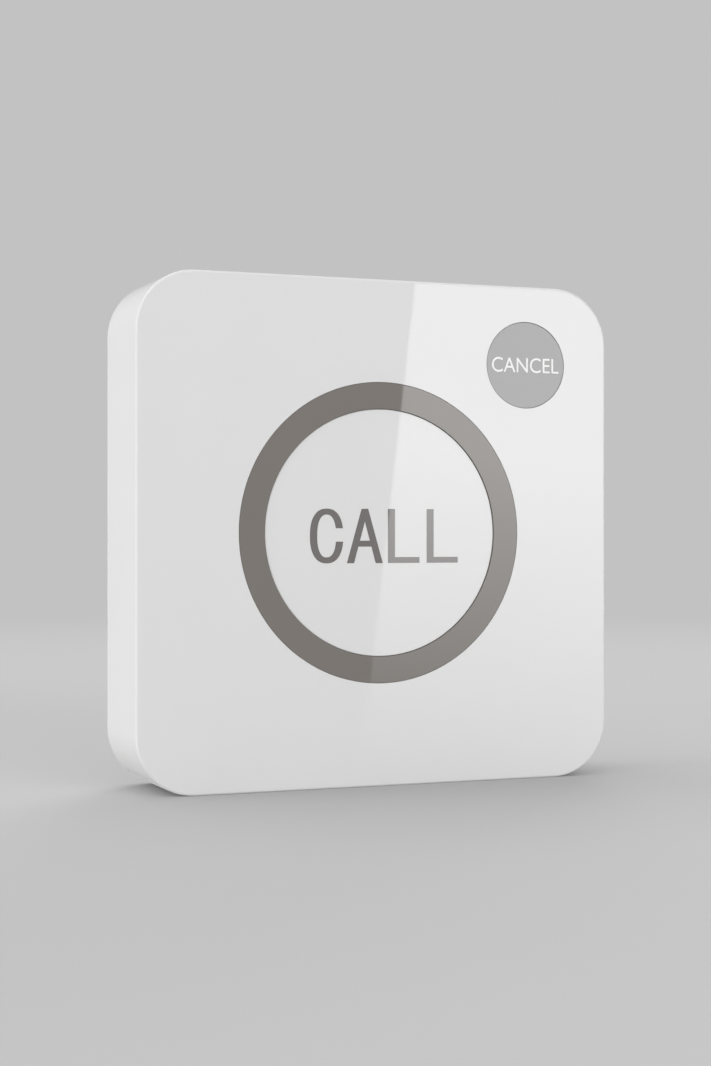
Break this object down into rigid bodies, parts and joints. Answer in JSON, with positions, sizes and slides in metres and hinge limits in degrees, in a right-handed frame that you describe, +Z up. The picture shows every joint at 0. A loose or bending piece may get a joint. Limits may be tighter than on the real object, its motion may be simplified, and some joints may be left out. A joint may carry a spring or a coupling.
{
  "type": "nurse call button",
  "caption": "White square wall-mounted call point with a large round call button inside a flush taupe ring and a small grey cancel button in the upper right corner.",
  "frame": {"origin": "middle of the unit on the wall plane, halfway between the two wall screws", "axes": "+Z up the wall, +X to the right as seen by the user, +Y into the wall, front facing -Y"},
  "size_m": [0.086, 0.019, 0.086],
  "materials": {
    "white_gloss": "moulded, polished",
    "white_satin": "moulded, fine satin",
    "taupe_gloss": "moulded, polished, tinted translucent",
    "grey_gloss": "moulded, polished",
    "black_plastic": "moulded",
    "plunger_plastic": "moulded",
    "board_laminate": "solder mask",
    "steel": "plated",
    "gold_plated": "plated spring strip",
    "copper_wire": "drawn wire",
    "silicone": "moulded",
    "black_rubber": "moulded",
    "foam_tape": "closed-cell foam",
    "lens": "moulded"
  },
  "bodies": {
    "wall_mount": {"wall_plate": "white_satin", "tape_pads": "foam_tape"},
    "unit": {"front_shell": "white_gloss", "light_ring": "taupe_gloss", "call_springs": "steel", "ring_retainer": "white_satin", "retainer_screws": "steel", "circuit_board": "board_laminate", "board_screws": "steel", "call_switch": "black_plastic", "cancel_switch": "black_plastic", "ring_leds": "lens", "microcontroller": "black_plastic", "radio_chip": "black_plastic", "crystal": "steel", "antenna_coil": "copper_wire", "chip_parts": "lens", "cell_holder": "black_plastic", "cell_contact": "gold_plated", "side_contact": "gold_plated", "coin_cell": "steel", "rear_cover": "white_satin", "cover_gasket": "silicone", "cover_screws": "steel"},
    "call_button": {"call_cap": "white_gloss"},
    "call_switch_plunger": {"call_plunger": "plunger_plastic"},
    "cancel_button": {"cancel_cap": "grey_gloss"},
    "cancel_switch_plunger": {"cancel_plunger": "plunger_plastic"},
    "battery_door": {"battery_cap": "white_satin", "battery_seal": "black_rubber"}
  },
  "joints": [
    {"name": "lift_off", "type": "slide", "parent": "wall_mount", "child": "unit", "axis": [0, 0, 1], "range_m": [0, 0.005]},
    {"name": "call_press", "type": "slide", "parent": "unit", "child": "call_button", "axis": [0, 1, 0], "range_m": [0, 0.001], "stiffness_N_per_m": 900, "springref_m": -0.002, "deforming": ["call_springs"]},
    {"name": "call_plunger_press", "type": "slide", "parent": "unit", "child": "call_switch_plunger", "axis": [0, 1, 0], "range_m": [0, 0.001]},
    {"name": "cancel_press", "type": "slide", "parent": "unit", "child": "cancel_button", "axis": [0, 1, 0], "range_m": [0, 0.0008], "stiffness_N_per_m": 1200, "springref_m": -0.001},
    {"name": "cancel_plunger_press", "type": "slide", "parent": "unit", "child": "cancel_switch_plunger", "axis": [0, 1, 0], "range_m": [0, 0.0008]},
    {"name": "battery_cap_turn", "type": "hinge", "parent": "unit", "child": "battery_door", "pos_m": [0, -0.003, 0], "axis": [0, 1, 0], "range_deg": [0, 40]}
  ],
  "couplings": [
    {"joint": "call_plunger_press", "follows": "call_press", "ratio": 1},
    {"joint": "cancel_plunger_press", "follows": "cancel_press", "ratio": 1}
  ]
}
